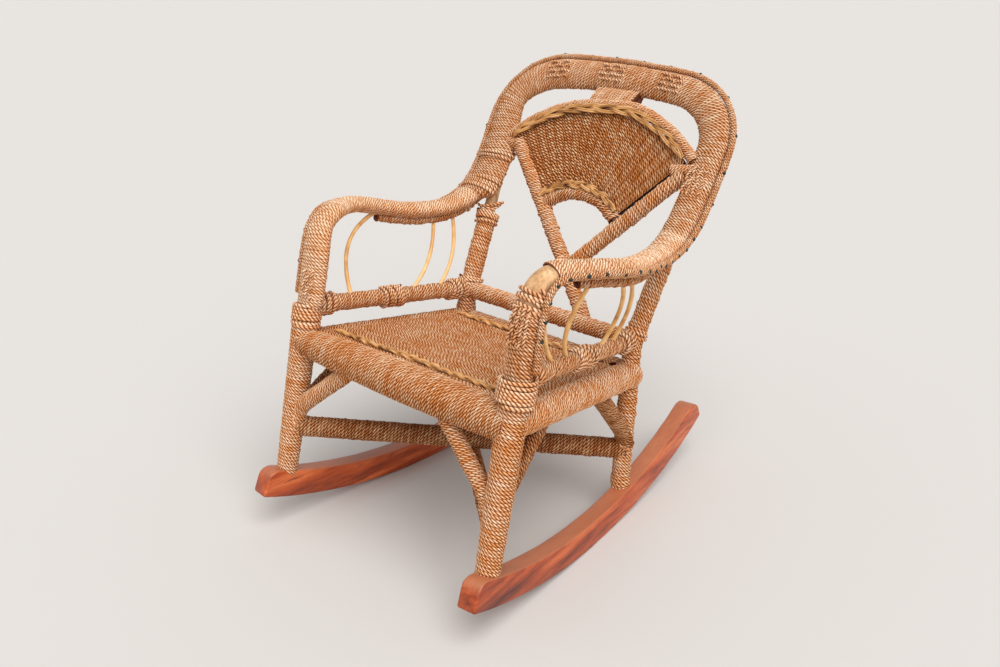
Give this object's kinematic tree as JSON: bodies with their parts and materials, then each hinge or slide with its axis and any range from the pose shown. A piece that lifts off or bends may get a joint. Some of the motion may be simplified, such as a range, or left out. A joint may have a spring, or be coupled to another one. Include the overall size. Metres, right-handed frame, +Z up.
{
  "type": "child-size wicker rocking chair",
  "caption": "Small wicker rocking armchair: bent poles bound in twisted grass cord, woven seat, fan-shaped woven back panel, flat hoop arms and curved wooden rockers.",
  "frame": {"origin": "on the floor, in the middle plane, midway between the two lines where the rockers touch the floor at rest", "axes": "+Z up; -Y is the way a sitter faces; +X is to the viewer's right when the chair is seen from its front"},
  "size_m": [0.459, 0.536, 0.5438],
  "materials": {
    "rocker_wood": "oiled red-brown hardwood, worn paler at the edges",
    "pole_wood": "peeled pole, matt, under the cord",
    "bare_pole": "peeled pale cane pole, satin where it is bare",
    "cane": "thin peeled cane, satin honey",
    "rattan_braid": "plaited split cane, matt straw",
    "wrap_cord": "two-strand twisted grass cord, matt golden brown",
    "hoop_cord": "two-strand twisted grass cord, matt light golden brown",
    "seat_cord": "twisted grass cord woven close, matt tan",
    "fan_cord": "twined grass cord, matt orange brown",
    "tack_metal": "small tacks, dulled blue-green with age"
  },
  "bodies": {
    "root": {"rocker_left": "rocker_wood", "rocker_right": "rocker_wood", "front_leg_left_core": "pole_wood", "front_leg_right_core": "pole_wood", "front_leg_left_wrap": "wrap_cord", "front_leg_right_wrap": "wrap_cord", "rear_post_left_core": "bare_pole", "rear_post_right_core": "bare_pole", "rear_post_left_wrap": "wrap_cord", "rear_post_right_wrap": "wrap_cord", "front_rail_core": "pole_wood", "front_rail_wrap": "seat_cord", "side_rail_left_core": "pole_wood", "side_rail_right_core": "pole_wood", "side_rail_left_wrap": "seat_cord", "side_rail_right_wrap": "seat_cord", "seat_back_rail_core": "pole_wood", "seat_back_rail_wrap": "wrap_cord", "seat_weave": "seat_cord", "seat_braid_front": "rattan_braid", "seat_braid_back": "rattan_braid", "stretcher_upper_core": "pole_wood", "stretcher_upper_wrap": "wrap_cord", "stretcher_lower_core": "pole_wood", "stretcher_lower_wrap": "wrap_cord", "corner_brace_cores": "pole_wood", "corner_brace_wraps": "wrap_cord", "arm_rail_left_core": "pole_wood", "arm_rail_right_core": "pole_wood", "arm_rail_left_wrap": "wrap_cord", "arm_rail_right_wrap": "wrap_cord", "back_rail_core": "pole_wood", "back_rail_wrap": "wrap_cord", "hoop_core": "bare_pole", "hoop_wrap_left_arm": "hoop_cord", "hoop_wrap_back": "hoop_cord", "hoop_wrap_right_arm": "hoop_cord", "post_wrap_right": "hoop_cord", "hoop_edge_cord": "hoop_cord", "edge_tacks": "tack_metal", "post_binding_left": "wrap_cord", "post_binding_right": "wrap_cord", "under_arm_rail_left": "wrap_cord", "under_arm_rail_right": "wrap_cord", "side_canes_left": "cane", "side_canes_right": "cane", "fan_pole_rising_left": "pole_wood", "fan_pole_rising_right": "pole_wood", "fan_pole_wraps": "wrap_cord", "fan_crossing_lashing": "wrap_cord", "fan_arch_core": "pole_wood", "fan_arch_wrap": "hoop_cord", "fan_inner_arch_core": "pole_wood", "fan_inner_arch_wrap": "wrap_cord", "fan_stakes": "cane", "fan_weave": "fan_cord", "fan_braid_top": "rattan_braid", "fan_braid_bottom": "rattan_braid", "fan_neck": "hoop_cord", "fan_side_ties": "hoop_cord"}
  },
  "joints": []
}
